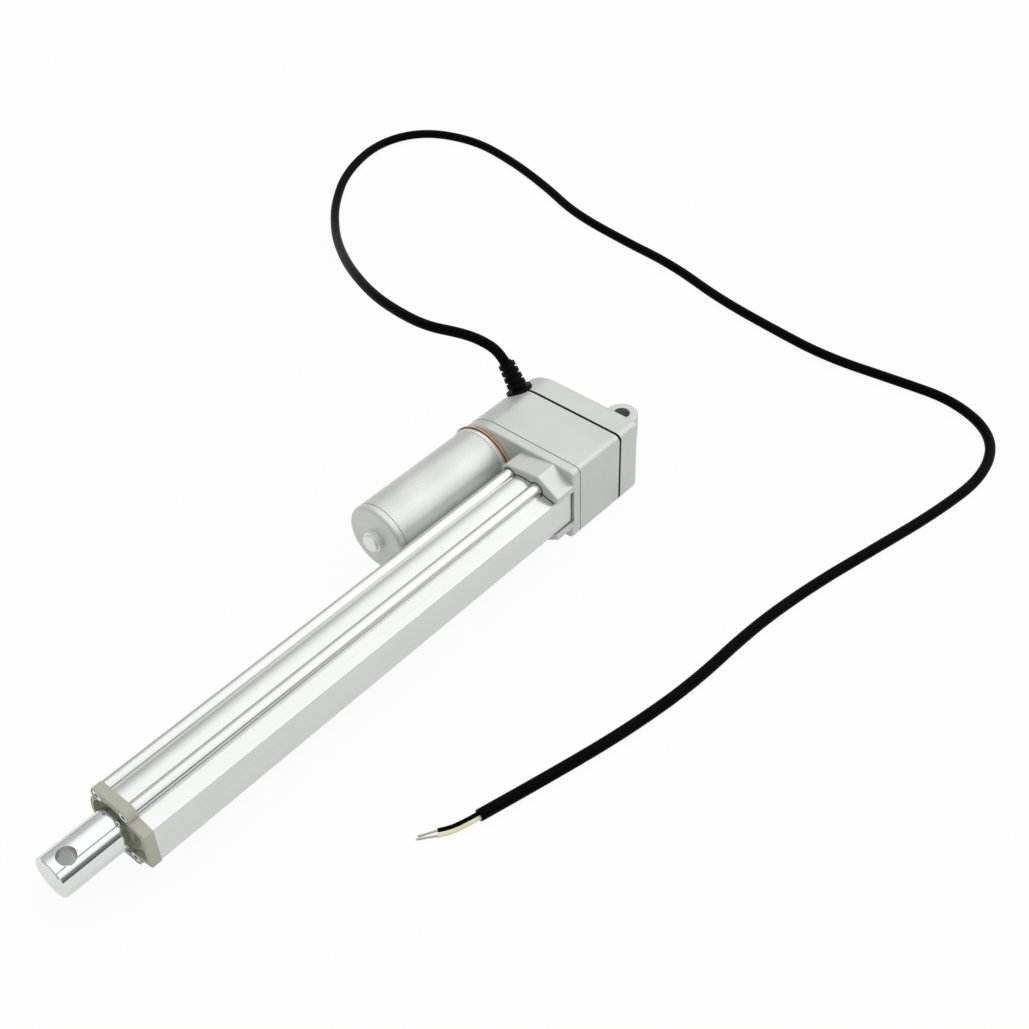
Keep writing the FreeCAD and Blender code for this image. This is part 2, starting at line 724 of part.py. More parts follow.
def make_screw_group():
    journal_back = cover_floor + d.gear_gap
    turned("lead_screw", (journal_back, 0), (screw_front, 0), (screw_front, d.journal_radius),
           (guide_back, d.journal_radius), (guide_back, d.screw_radius),
           (bearing_front, d.screw_radius), (bearing_front, d.journal_radius),
           (journal_back, d.journal_radius))
    turned("screw_tip_guide",
           *cylinder_outline(guide_back, screw_front, d.journal_radius, rod_bore - d.guide_gap))
    turned("screw_retaining_clip",
           *cylinder_outline(bearing_back - d.clip_thickness, bearing_back, d.journal_radius,
                             d.journal_radius + d.clip_width))
    outer_inside = d.bearing_radius - d.race_thickness
    inner_outside = d.journal_radius + d.race_thickness
    pitch = (d.bearing_radius + d.journal_radius) / 2
    middle = bearing_back + d.bearing_width / 2
    outer = turned("bearing_outer_race",
                   *cylinder_outline(bearing_back, bearing_front, outer_inside, d.bearing_radius))
    inner = turned("bearing_inner_race",
                   *cylinder_outline(bearing_back, bearing_front, d.journal_radius, inner_outside))
    add_turned(outer, "outer_ball_groove", circle(middle, pitch, ball_radius + d.ball_gap), cut=True)
    add_turned(inner, "inner_ball_groove", circle(middle, pitch, ball_radius), cut=True)
    balls = []
    count = int(d.ball_count.number)
    for i in range(count):
        angle = 2 * math.pi * i / count
        ball = doc.addObject("Part::Sphere", "bearing_ball_%d" % (i + 1))
        ball.setExpression("Radius", ball_radius.formula)
        ball.setExpression("Placement.Base.x", middle.formula)
        ball.setExpression("Placement.Base.y", (pitch * round(math.cos(angle), 6)).formula)
        ball.setExpression("Placement.Base.z", (pitch * round(math.sin(angle), 6)).formula)
        balls.append(ball)
    group = doc.addObject("Part::Compound", "bearing_balls")
    group.Links = balls
    sub_parts.append(group)
    turned("bearing_retainer",
           *cylinder_outline(bearing_front, bearing_front + d.retainer_thickness,
                             d.bearing_radius - d.retainer_width, d.bearing_radius))


# Gears

screw_gear_back = housing_back + d.gear_gap
screw_gear_front = screw_gear_back + d.screw_gear_width
wheel_back = screw_gear_front + d.gear_gap
wheel_front = wheel_back + d.wheel_width


def involute(angle):
    return math.tan(angle) - angle


def gear_face(module, teeth, tooth_angle):
    # Each flank follows the involute of the base circle through four radii, root to tip.
    pitch = module * teeth / 2
    pressure = math.radians(d.pressure_angle.number)
    base = pitch * math.cos(pressure)
    radii = (pitch - 1.2 * module, max(base, pitch - 0.7 * module), pitch, pitch + 0.85 * module)
    half_tooth = math.pi / (2 * teeth) - d.backlash.number / (4 * pitch)
    flank = []
    for radius in radii:
        roll = math.acos(min(1, base / radius))
        flank.append((radius, half_tooth + involute(pressure) - involute(roll)))
    points = []
    for i in range(teeth):
        middle = tooth_angle + 2 * math.pi * i / teeth
        sides = [(radius, middle - half) for radius, half in flank]
        sides += [(radius, middle + half) for radius, half in reversed(flank)]
        points += [FreeCAD.Vector(0, radius * math.cos(a), radius * math.sin(a)) for radius, a in sides]
    return Part.Face(Part.makePolygon(points + points[:1]))


def gear_solid(module, teeth, tooth_angle, back, front):
    face = gear_face(module.number, int(teeth.number), tooth_angle)
    face.translate(FreeCAD.Vector(back.number, 0, 0))
    return face.extrude(FreeCAD.Vector((front - back).number, 0, 0))


def rod_cylinder(radius, back, front):
    return Part.makeCylinder(radius.number, (front - back).number,
                             FreeCAD.Vector(back.number, 0, 0), FreeCAD.Vector(1, 0, 0))


def shape_part(label, shape, across=0):
    feature = doc.addObject("Part::Feature", label)
    feature.Label = label
    feature.Shape = shape
    feature.Placement = FreeCAD.Placement(FreeCAD.Vector(0, as_size(across).number, 0), FreeCAD.Rotation())
    sub_parts.append(feature)


def make_gears():
    # Teeth of the layshaft point at both neighbours, whose gaps face them.
    screw_gear = gear_solid(d.stage_two_module, d.screw_gear_teeth,
                            math.pi + math.pi / d.screw_gear_teeth.number, screw_gear_back, screw_gear_front)
    hub = rod_cylinder(d.screw_radius + d.seat_wall, bearing_front + d.gear_gap, screw_gear_front)
    bore = rod_cylinder(d.screw_radius, cover_floor, flange_back)
    shape_part("screw_gear", screw_gear.fuse(hub).cut(bore).removeSplitter())

    layshaft = gear_solid(d.stage_two_module, d.layshaft_teeth, 0, screw_gear_back, wheel_back)
    wheel = gear_solid(d.stage_one_module, d.wheel_teeth, math.pi, wheel_back, wheel_front)
    axle_hole = rod_cylinder(d.layshaft_radius + d.running_gap, cover_floor, flange_back)
    shape_part("reduction_gear", layshaft.fuse(wheel).cut(axle_hole).removeSplitter(), layshaft_axis)

    pinion = gear_solid(d.stage_one_module, d.pinion_teeth, math.pi / d.pinion_teeth.number,
                        wheel_back - d.gear_gap, wheel_back - d.gear_gap + d.pinion_width)
    shaft_hole = rod_cylinder(d.shaft_radius, cover_floor, flange_back)
    shape_part("motor_pinion", pinion.cut(shaft_hole), motor_axis)


def make_layshaft():
    axle_front = flange_back + d.flange_thickness / 2
    turned("gear_axle", *cylinder_outline(cover_floor + d.gear_gap, axle_front, 0, d.layshaft_radius),
           across=layshaft_axis)
    spacers = turned("axle_spacers",
                     *cylinder_outline(cover_floor + d.axle_seat, screw_gear_back - d.gear_gap / 2,
                                       d.layshaft_radius, d.layshaft_radius + d.spacer_wall),
                     across=layshaft_axis)
    add_turned(spacers, "front_spacer",
               polygon(*cylinder_outline(wheel_front + d.gear_gap / 2, flange_back,
                                         d.layshaft_radius, d.layshaft_radius + d.spacer_wall)))


# Motor

bell_back = flange_front + d.seal_ring_thickness
bell_front = bell_back + d.bell_thickness
can_front = bell_front + d.motor_length
end_cap_back = can_front + d.can_groove
end_cap_front = end_cap_back + d.end_cap_thickness
boss_front = end_cap_front + d.boss_height
motor_front = boss_front + d.boss_tip_height
can_inside = d.motor_radius - d.can_wall
bush_radius = d.shaft_radius + d.shaft_bush_wall
commutator_back = bell_front + d.holder_thickness
winding_back = commutator_back + d.commutator_length
core_back = winding_back + d.winding_length
core_front = core_back + d.core_length


def make_motor_shell():
    turned("motor_seal_ring",
           *cylinder_outline(flange_front, bell_back, d.seal_ring_radius - d.seal_ring_width,
                             d.seal_ring_radius), across=motor_axis)
    ring = sub_parts[-1]
    round_edges(ring, "seal_ring_edges", d.seal_ring_thickness * 0.4,
                lambda edge: near(edge.BoundBox.YLength, 2 * d.seal_ring_radius))
    bell = turned("motor_end_bell", (flange_back, bush_radius), (bell_front, bush_radius),
                  (bell_front, d.bell_radius), (bell_back, d.bell_radius),
                  (bell_back, d.spigot_radius), (flange_back, d.spigot_radius), across=motor_axis)
    round_edges(bell, "bell_front_edge", d.bell_round,
                lambda edge: in_plane_x(edge, bell_front) and near(edge.BoundBox.YLength, 2 * d.bell_radius))
    threads = [(0, d.motor_screw_circle), (0, -d.motor_screw_circle)]
    cut_prism(bell, "bell_threads", circles(threads, d.screw_shank), bell_back, bell_front)
    turned("motor_can", *cylinder_outline(bell_front, can_front, can_inside, d.motor_radius),
           across=motor_axis)
    cap = turned("motor_end_cap", (can_front - d.end_cap_spigot, bush_radius), (boss_front, bush_radius),
                 (boss_front, 0), (motor_front, 0), (motor_front, d.boss_tip_radius),
                 (boss_front, d.boss_tip_radius), (boss_front, d.boss_radius),
                 (end_cap_front, d.boss_radius), (end_cap_front, d.motor_radius),
                 (end_cap_back, d.motor_radius), (end_cap_back, can_inside),
                 (can_front - d.end_cap_spigot, can_inside), across=motor_axis)
    round_edges(cap, "boss_tip_edge", d.boss_tip_round,
                lambda edge: in_plane_x(edge, motor_front))
    round_edges(cap, "end_cap_edge", d.end_cap_round,
                lambda edge: in_plane_x(edge, end_cap_front)
                and near(edge.BoundBox.YLength, 2 * d.motor_radius))


def make_motor_inside():
    shaft_fit = d.shaft_radius + d.running_gap
    turned("motor_back_bush", *cylinder_outline(flange_back, bell_front, shaft_fit, bush_radius),
           across=motor_axis)
    turned("motor_front_bush",
           *cylinder_outline(can_front - d.end_cap_spigot, boss_front - d.gear_gap, shaft_fit, bush_radius),
           across=motor_axis)
    turned("motor_shaft",
           *cylinder_outline(wheel_back - d.gear_gap, boss_front - d.gear_gap, 0, d.shaft_radius),
           across=motor_axis)
    magnet_inside = can_inside - d.magnet_thickness
    magnet_back = core_back + (d.core_length - d.magnet_length) / 2
    magnets = turned("motor_magnets",
                     *cylinder_outline(magnet_back, magnet_back + d.magnet_length, magnet_inside, can_inside),
                     across=motor_axis)
    cut_prism(magnets, "magnet_gaps",
              [rectangle(-d.motor_radius, d.motor_radius, -(d.magnet_slot / 2), d.magnet_slot / 2)],
              magnet_back, magnet_back + d.magnet_length)
    core_radius = magnet_inside - d.air_gap
    turned("armature_core", *cylinder_outline(core_back, core_front, d.shaft_radius, core_radius),
           across=motor_axis)
    wound = core_radius - d.air_gap
    windings = turned("armature_windings",
                      *cylinder_outline(winding_back, core_back, d.shaft_radius, wound), across=motor_axis)
    add_turned(windings, "front_winding",
               polygon(*cylinder_outline(core_front, core_front + d.winding_length, d.shaft_radius, wound)))
    turned("commutator",
           *cylinder_outline(commutator_back, winding_back, d.shaft_radius, d.commutator_radius),
           across=motor_axis)
    brush_inside = d.commutator_radius + d.running_gap
    brush_outside = brush_inside + d.brush_length
    half = d.brush_width / 2
    holder = turned("brush_holder",
                    *cylinder_outline(bell_front, commutator_back + d.brush_width,
                                      brush_inside + d.air_gap, can_inside), across=motor_axis)
    brush_front = commutator_back + d.brush_width
    slots = [rectangle(brush_inside, brush_outside, -half, half),
             rectangle(-brush_outside, -brush_inside, -half, half)]
    cut_prism(holder, "brush_slots", slots, commutator_back, brush_front)
    brushes = new_body("carbon_brushes", motor_axis)
    add_prism(brushes, "brush_blocks", slots, commutator_back, brush_front)


# Limit switches on their board, in the tube's pocket away from the motor

def make_limit_switches():
    board_outer = d.tube_side - d.tube_wall
    board_inner = board_outer - d.board_thickness
    board_back = flange_front + d.board_margin
    board_front = tube_front - d.board_margin
    board = new_body("limit_switch_board")
    add_prism(board, "board_plate",
              [rectangle(board_inner, board_outer, -d.board_half_width, d.board_half_width)],
              board_back, board_front)
    switch_inner = tube_bore + d.switch_gap
    switch = rectangle(switch_inner, board_inner, -d.switch_half_width, d.switch_half_width)
    switches = new_body("limit_switches")
    add_prism(switches, "rear_switch", [switch], board_back, board_back + d.switch_length)
    add_prism(switches, "front_switch", [switch], board_front - d.switch_length, board_front)


# Cable boot and cable

def make_boot():
    # Heights are measured along the boot from the centre of the rounded end.
    base = head_half_height - d.boot_sink
    inside = head_half_height - d.head_wall - d.boot_inner_flange
    top = base + d.boot_flange_thickness
    outline = [(inside, 0), (inside, d.boot_neck_radius), (base, d.boot_neck_radius),
               (base, d.boot_flange_radius - d.screw_clearance),
               (top, d.boot_flange_radius - d.screw_clearance)]
    count = int(d.boot_rib_count.number)
    for i in range(count):
        root = d.boot_root_radius + (d.boot_tip_radius - d.boot_root_radius) * i / count
        start = top + d.boot_rib_pitch * (i + 0.45)
        end = top + d.boot_rib_pitch * (i + 1)
        outline += [(top + d.boot_rib_pitch * i, root), (start, root), (start, root + d.boot_rib_height),
                    (end, root + d.boot_rib_height)]
    tip = top + d.boot_rib_pitch * (count + 0.3)
    socket = tip - d.boot_socket
    outline += [(end, d.boot_tip_radius), (tip, d.boot_tip_radius), (tip, d.cable_radius),
                (socket, d.cable_radius), (socket, 0)]
    body = doc.addObject("PartDesign::Body", "cable_boot")
    body.Label = "cable_boot"
    add_turned(body, "boot_turn", polygon(*outline))
    body.Placement = FreeCAD.Placement(
        boot_centre, FreeCAD.Rotation(FreeCAD.Vector(1, 0, 0), boot_direction))
    sub_parts.append(body)
    return socket.number, tip.number


def arc_radius(before, point, after):
    arrive = point - before
    leave = after - point
    turn = arrive.getAngle(leave)
    return 0.45 * min(arrive.Length, leave.Length) / math.tan(turn / 2), turn


def rounded_path(points):
    # Straight runs joined by tangent arcs, each arc as large as its two runs allow.
    edges = []
    radii = []
    start = points[0]
    for before, point, after in zip(points, points[1:], points[2:]):
        radius, turn = arc_radius(before, point, after)
        radii.append(radius)
        into = (before - point).normalize()
        out = (after - point).normalize()
        reach = radius * math.tan(turn / 2)
        inward = (into + out).normalize()
        middle = point + inward * (radius / math.cos(turn / 2) - radius)
        arc_start = point + into * reach
        arc_end = point + out * reach
        edges.append(Part.LineSegment(start, arc_start).toShape())
        edges.append(Part.Arc(arc_start, middle, arc_end).toShape())
        start = arc_end
    edges.append(Part.LineSegment(start, points[-1]).toShape())
    return Part.Wire(edges), radii


def round_cord(label, points, radius):
    path, radii = rounded_path(points)
    ring = Part.Wire(Part.makeCircle(radius, points[0], points[1] - points[0]))
    solid = path.makePipeShell([ring], True, False)
    expected = math.pi * radius * radius * path.Length
    print("%s: length %.1f, radii %s, volume over section times length %.4f" % (
        label, path.Length, " ".join("%.0f" % r for r in radii), solid.Volume / expected))
    shape_part(label, solid)


def make_cable(socket, boot_tip):
    leaving = [on_boot_axis(socket), on_boot_axis(boot_tip + d.cable_straight.number)]
    route = [FreeCAD.Vector(*point) for point in CABLE_ROUTE]
    round_cord("power_cable", leaving + route, d.cable_radius.number)

    # Both cores leave square to the sheath's end, side by side.
    along = (route[-1] - route[-2]).normalize()
    side = FreeCAD.Vector(-along.y, along.x, 0) * (d.wire_radius + d.core_gap).number
    tips = []
    for side_sign, (label, points) in zip((-1, 1), CORE_ROUTES.items()):
        start = route[-1] + side * side_sign
        core = [start, start + along * d.core_straight.number]
        core += [FreeCAD.Vector(*point) for point in points]
        round_cord(label, core, d.wire_radius.number)
        onward = core[-1] - core[-2]
        tips.append(Part.makeCylinder(d.tip_radius.number, d.tip_length.number, core[-1], onward))
    shape_part("core_tips", Part.makeCompound(tips))


make_rear_cover()
make_cover_gasket()
make_gear_housing()
make_joint_gasket()
make_front_flange()
make_outer_tube()
make_front_cap()
make_front_end()
make_rod_group()
make_screw_group()
make_gears()
make_layshaft()
make_motor_shell()
make_motor_inside()
make_limit_switches()
make_cable(*make_boot())
doc.recompute()

for item in doc.Objects:
    if "Invalid" in item.State or "Error" in item.State:
        raise RuntimeError("failed to build: " + item.Label)
for item in sub_parts:
    if item.Shape.isNull() or not item.Shape.isValid():
        raise RuntimeError("no valid shape: " + item.Label)

os.makedirs("parts", exist_ok=True)
for item in sub_parts:
    item.Shape.exportStep("parts/%s.step" % item.Label)
    print("%-24s solids %d volume %.1f" % (item.Label, len(item.Shape.Solids), item.Shape.Volume))
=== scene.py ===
import math

import bpy
import numpy as np
from mathutils import Matrix, Vector


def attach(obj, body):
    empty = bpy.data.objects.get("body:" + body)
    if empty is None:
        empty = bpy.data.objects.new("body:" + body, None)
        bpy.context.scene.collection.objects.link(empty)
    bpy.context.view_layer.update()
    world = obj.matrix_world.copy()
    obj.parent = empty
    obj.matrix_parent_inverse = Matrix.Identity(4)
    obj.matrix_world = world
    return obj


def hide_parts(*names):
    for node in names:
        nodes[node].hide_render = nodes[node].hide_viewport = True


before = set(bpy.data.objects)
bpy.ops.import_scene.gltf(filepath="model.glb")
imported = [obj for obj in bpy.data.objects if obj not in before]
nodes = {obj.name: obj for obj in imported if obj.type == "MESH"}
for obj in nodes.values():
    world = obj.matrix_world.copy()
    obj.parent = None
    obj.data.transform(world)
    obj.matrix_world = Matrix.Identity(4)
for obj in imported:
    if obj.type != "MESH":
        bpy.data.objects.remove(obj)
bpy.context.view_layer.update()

print("frame loaded:", len(nodes), "pieces")

scene = bpy.context.scene
scene.view_settings.view_transform = "Standard"


def linear(hexColour):
    # sRGB hex to linear light
    parts = [int(hexColour[i:i + 2], 16) / 255 for i in (1, 3, 5)]
    light = [p / 12.92 if p <= 0.04045 else ((p + 0.055) / 1.055) ** 2.4 for p in parts]
    return (*light, 1.0)


def addNode(tree, kind, inputs=None, **settings):
    # one node, its settings, and its sockets set or linked
    node = tree.nodes.new("ShaderNode" + kind)
    for name, value in settings.items():
        setattr(node, name, value)
    for socket, value in (inputs or {}).items():
        if isinstance(value, bpy.types.NodeSocket):
            tree.links.new(value, node.inputs[socket])
        else:
            node.inputs[socket].default_value = value
    return node


def perMetre(millimetres):
    # texture scale for a pattern of this real size
    return 1000.0 / millimetres


def newMaterial(name):
    material = bpy.data.materials.new(name)
    material.use_nodes = True
    material.node_tree.nodes.clear()
    return material, material.node_tree


# camera, at the photograph's viewing angle
cameraView = {
    "place": (0.5071, 0.3831, 0.5198),
    "heading": -137.709,   # degrees, of the level direction it looks along
    "pitch": 42.584,       # degrees below the horizon
    "roll": -2.004,
    "lens": 54.427,        # mm
    "sensor": 36,          # mm
    "nearest": 0.01,       # m, closest distance drawn
}


def addCamera(view):
    heading, pitch, roll = (math.radians(view[key]) for key in ("heading", "pitch", "roll"))
    forward = Vector((math.cos(pitch) * math.cos(heading), math.cos(pitch) * math.sin(heading),
                      -math.sin(pitch)))
    level = Vector((math.sin(heading), -math.cos(heading), 0))
    right = level * math.cos(roll) + level.cross(forward) * math.sin(roll)
    up = right.cross(forward)
    data = bpy.data.cameras.new("photoCamera")
    data.sensor_width = view["sensor"]
    data.lens = view["lens"]
    data.clip_start = view["nearest"]
    camera = bpy.data.objects.new("photoCamera", data)
    turned = Matrix((right, up, -forward)).transposed().to_4x4()
    camera.matrix_world = Matrix.Translation(view["place"]) @ turned
    scene.collection.objects.link(camera)
    scene.camera = camera


addCamera(cameraView)
print("camera placed")

# power cable: black sheath from the boot to the stripped end
cableValues = {
    "radius": 2.8,        # mm
    "length": 1.264,      # m
    "bevelSteps": 6,      # roundness of its section
    "routeSteps": 10,     # smoothness between two points
    "route": [            # mm
        (29.1, -51.072, 26.905), (29.1, -57.335, 36.549), (33.3, -67.6, 42.6), (37.6, -78.3, 44.6),
        (42.9, -97.9, 43), (40.3, -125, 40.9), (30.7, -152.2, 35.1), (9.6, -190, 23), (-20.8, -232.2, 3.4),
        (-50.4, -269.5, -12.5), (-79.3, -300.2, -18.8), (-112.2, -323.2, -18.8), (-153, -334.3, -18.8),
        (-185, -321.1, -18.8), (-198.4, -285.3, -18.8), (-193.7, -246.6, -18.8), (-182.4, -205.6, -18.8),
        (-168.8, -170.4, -18.8), (-163, -126.2, -18.8), (-160, -84.7, -18.8), (-148.5, -41.6, -18.8),
        (-143, 0.6, -18.8), (-139.4, 39, -18.8), (-145.3, 81.1, -18.8), (-149.4, 115.6, -18.8),
        (-135.6, 146.6, -18.8), (-104.1, 158.5, -18.8), (-62.2, 153, -18.8), (-17.3, 142.5, -18.8),
        (19.9, 133.8, -18.8), (61.1, 127.5, -18.8), (108.1, 126.3, -18.8), (149.6, 119.8, -18.8),
        (189.5, 110.1, -18.8), (225.2, 100.4, -18.8),
    ],
}


def addCable(values):
    data = bpy.data.curves.new("powerCable", "CURVE")
    data.dimensions = "3D"
    data.bevel_depth = values["radius"] / 1000
    data.bevel_resolution = values["bevelSteps"]
    data.resolution_u = values["routeSteps"]
    data.use_fill_caps = True
    line = data.splines.new("NURBS")
    points = np.array(values["route"]) / 1000
    line.points.add(len(points) - 1)
    line.points.foreach_set("co", np.column_stack([points, np.ones(len(points))]).ravel())
    line.order_u = 3
    line.use_endpoint_u = True
    cable = bpy.data.objects.new("powerCable", data)
    scene.collection.objects.link(cable)
    return cable, tuple(points[0])


cable, cableExit = addCable(cableValues)
print("cable laid:", len(cableValues["route"]), "points")

# bare ends: tinned wires twisted together past the cut end of each core
strandValues = {
    "outer": 6,           # wires that wind around one in the middle
    "wire": 0.18,         # mm, radius of one wire
    "circle": 0.36,       # mm, radius of the circle that the outer wires wind on
    "lay": 9.5,           # mm along one full turn
    "length": 9.0,        # mm
    "uneven": 0.02,       # how much shorter one wire is cut than the next, as a share
    "ends": [             # mm, where the bare wires of a core start, and the way they point
        ((241.2, 91.3, -20.4), (5.15, -2.91, 0)),
        ((243.5, 92.9, -20.4), (5.29, -4.13, 0)),
    ],
}


def addStrands(values):
    # each wire is a circle whose centre winds about the core's axis while it moves along it,
    # shrinking over the last radius as a half ball does
    steps, sides = 40, 10
    closing = np.linspace(0, np.pi / 2, 6)[1:]
    swell = np.concatenate([np.ones(steps), np.cos(closing)])[:, None] * values["wire"]
    around = np.linspace(0, 2 * np.pi, sides, endpoint=False)[None, :]
    count = values["outer"] + 1
    corners = []
    for start, heading in values["ends"]:
        axis = np.array(heading) / np.linalg.norm(heading)
        side = np.cross(axis, (0, 0, 1))
        up = np.cross(side, axis)
        for wire in range(count):
            shorter = values["uneven"] * (wire * 3 % count)   # cut lengths, dealt out in threes
            reach = values["length"] * (1 - shorter) - values["wire"]
            straight = np.linspace(0, reach, steps)
            run = np.concatenate([straight, reach + values["wire"] * np.sin(closing)])[:, None]
            turn = 2 * np.pi * (run / values["lay"] + wire / values["outer"])
            orbit = values["circle"] if wire < values["outer"] else 0.0
            across = orbit * np.cos(turn) + swell * np.cos(around)
            rise = orbit * np.sin(turn) + swell * np.sin(around)
            centre = np.array(start) + run[..., None] * axis
            corners.append(centre + across[..., None] * side + rise[..., None] * up)
    corners = np.array(corners) / 1000
    index = np.arange(corners[..., 0].size).reshape(corners.shape[:3])
    beside = np.roll(index, -1, axis=2)
    faces = np.stack([index[:, :-1], beside[:, :-1], beside[:, 1:], index[:, 1:]], axis=-1).reshape(-1, 4)
    mesh = bpy.data.meshes.new("bareStrands")
    mesh.from_pydata(corners.reshape(-1, 3).tolist(), [], faces.tolist())
    mesh.shade_smooth()
    strands = bpy.data.objects.new("bareStrands", mesh)
    scene.collection.objects.link(strands)
    return strands


strands = addStrands(strandValues)
print("strands twisted:", (strandValues["outer"] + 1) * len(strandValues["ends"]))

# floor and light
studioValues = {
    "floorHeight": -21.6,      # mm, under the gear head
    "floorGap": 0.2,           # mm between the lowest piece and the floor
    "floorSize": 8.0,          # m
    "floorColour": "#EDEEEC",
    "mottle": 40,              # mm, size of the board's faint clouds
    "mottleShade": 0.97,       # how dark they get
    "whiteShare": 0.93,        # share of plain white in what the camera sees
    "mirrorShare": 0.5,        # the same in reflections
    "skyAxis": (-0.547, 0.201, 0.813),  # towards the bright part of the room, high behind the gear head
    "skyLow": 0.64,            # level away from it
    "skyHigh": 1.35,           # level in it
    "skyRise": (0.38, 0.85),   # how far along that axis the room brightens
    "wallShade": 0.4,          # darker strip of wall above the horizon
    "wallTop": 0.2,
    "darkCards": [             # direction, cosines of its soft edge, level left
        ((-0.15, 0.97, 0.17), (0.945, 0.98), 0.3),     # doorway, a dark band along the bright rod
        ((-0.236, 0.576, 0.781), (0.9955, 0.9985), 0.25),  # gap in the ceiling light, a thin line on the rod
    ],
    "lamps": [                 # name, place m, aim m, width and height m, watts
        ("keySoftbox", (-0.62, 0.46, 1.0), (0.1, 0.0, 0.0), 0.7, 0.7, 0.9),
    ],
}


def addFloor(values):
    material, tree = newMaterial("matteWhiteBoard")
    place = addNode(tree, "TexCoord")
    mottle = addNode(tree, "TexNoise", {"Vector": place.outputs["Object"],
                                        "Scale": perMetre(values["mottle"]), "Detail": 3.0})
    tone = addNode(tree, "MapRange", {"Value": mottle.outputs["Fac"], "To Min": values["mottleShade"],
                                      "To Max": 1.0})
    shade = addNode(tree, "Mix", {"Factor": 1.0, "A": linear(values["floorColour"]),
                                  "B": tone.outputs["Result"]}, data_type="RGBA", blend_type="MULTIPLY")
    board = addNode(tree, "BsdfDiffuse", {"Color": shade.outputs["Result"]})
    white = addNode(tree, "Emission", {"Color": (1, 1, 1, 1), "Strength": 1.0})
    ray = addNode(tree, "LightPath")
    seen = addNode(tree, "Math", {0: ray.outputs["Is Camera Ray"], 1: values["whiteShare"]},
                   operation="MULTIPLY")
    mirrored = addNode(tree, "Math", {0: ray.outputs["Is Glossy Ray"], 1: ray.outputs["Is Transmission Ray"]},
                       operation="MAXIMUM")
    share = addNode(tree, "Math", {0: mirrored.outputs[0], 1: values["mirrorShare"], 2: seen.outputs[0]},
                    operation="MULTIPLY_ADD")
    mixed = addNode(tree, "MixShader", {"Fac": share.outputs[0], 1: board.outputs[0], 2: white.outputs[0]})
    addNode(tree, "OutputMaterial", {"Surface": mixed.outputs[0]})
    half = values["floorSize"] / 2
    height = (values["floorHeight"] - values["floorGap"]) / 1000
    outline = ((-half, -half), (half, -half), (half, half), (-half, half))
    mesh = bpy.data.meshes.new("floorBoard")
    mesh.from_pydata([(x, y, height) for x, y in outline], [], [(0, 1, 2, 3)])
    mesh.materials.append(material)
    floor = bpy.data.objects.new("floorBoard", mesh)
    scene.collection.objects.link(floor)


def addLight(values):
    world = bpy.data.worlds.new("studioRoom")
    scene.world = world
    world.use_nodes = True
    tree = world.node_tree
    tree.nodes.clear()
    direction = addNode(tree, "TexCoord").outputs["Generated"]
    along = addNode(tree, "VectorMath", {0: direction, 1: values["skyAxis"]}, operation="DOT_PRODUCT")
    low, high = values["skyRise"]
    glow = addNode(tree, "MapRange", {"Value": along.outputs["Value"], "From Min": low, "From Max": high,
                                      "To Min": values["skyLow"], "To Max": values["skyHigh"]},
                   interpolation_type="SMOOTHSTEP")
    height = addNode(tree, "SeparateXYZ", {"Vector": direction})
    wall = addNode(tree, "MapRange", {"Value": height.outputs["Z"], "From Min": 0.0,
                                      "From Max": values["wallTop"], "To Min": values["wallShade"],
                                      "To Max": 1.0}, interpolation_type="SMOOTHSTEP")
    level = addNode(tree, "Math", {0: glow.outputs["Result"], 1: wall.outputs["Result"]},
                    operation="MULTIPLY")
    for axis, (edge, full), shade in values["darkCards"]:
        facing = addNode(tree, "VectorMath", {0: direction, 1: axis}, operation="DOT_PRODUCT")
        card = addNode(tree, "MapRange", {"Value": facing.outputs["Value"], "From Min": edge,
                                          "From Max": full, "To Min": 1.0, "To Max": shade},
                       interpolation_type="SMOOTHSTEP")
        level = addNode(tree, "Math", {0: level.outputs[0], 1: card.outputs["Result"]}, operation="MULTIPLY")
    sky = addNode(tree, "Background", {"Color": (1, 1, 1, 1), "Strength": level.outputs[0]})
    white = addNode(tree, "Background", {"Color": (1, 1, 1, 1), "Strength": 1.0})
    ray = addNode(tree, "LightPath")
    mixed = addNode(tree, "MixShader", {"Fac": ray.outputs["Is Camera Ray"], 1: sky.outputs[0],
                                        2: white.outputs[0]})
    addNode(tree, "OutputWorld", {"Surface": mixed.outputs[0]})
    for name, place, aim, width, depth, watts in values["lamps"]:
        data = bpy.data.lights.new(name, "AREA")
        data.shape = "RECTANGLE"
        data.size = width
        data.size_y = depth
        data.energy = watts
        lamp = bpy.data.objects.new(name, data)
        lamp.location = place
        lamp.rotation_euler = (Vector(aim) - Vector(place)).to_track_quat("-Z", "Y").to_euler()
        scene.collection.objects.link(lamp)


addFloor(studioValues)
addLight(studioValues)
print("floor and", len(studioValues["lamps"]), "lamps set")


farAway = 1000             # mm, past the end of any piece
grainSpan = (0.3, 0.7)     # where most of one noise lies
sumSpan = (0.65, 1.35)     # where most of two added noises lies


def within(tree, place, patch):
    # 1 where a point lies inside the patch's radius about its axis, past its start along it (mm)
    offset = addNode(tree, "VectorMath", {0: place, 1: [mm / 1000 for mm in patch.get("centre", (0, 0, 0))]},
                     operation="SUBTRACT")
    swing = addNode(tree, "VectorMath", {0: offset.outputs[0], 1: patch["axis"]}, operation="CROSS_PRODUCT")
    reach = addNode(tree, "VectorMath", {0: swing.outputs[0]}, operation="LENGTH")
    inside = addNode(tree, "Math", {0: reach.outputs["Value"], 1: patch.get("radius", farAway) / 1000},
                     operation="LESS_THAN")
    along = addNode(tree, "VectorMath", {0: offset.outputs[0], 1: patch["axis"]}, operation="DOT_PRODUCT")
    past = addNode(tree, "Math", {0: along.outputs["Value"], 1: patch.get("start", -farAway) / 1000},
                   operation="GREATER_THAN")
    return addNode(tree, "Math", {0: inside.outputs[0], 1: past.outputs[0]}, operation="MULTIPLY").outputs[0]


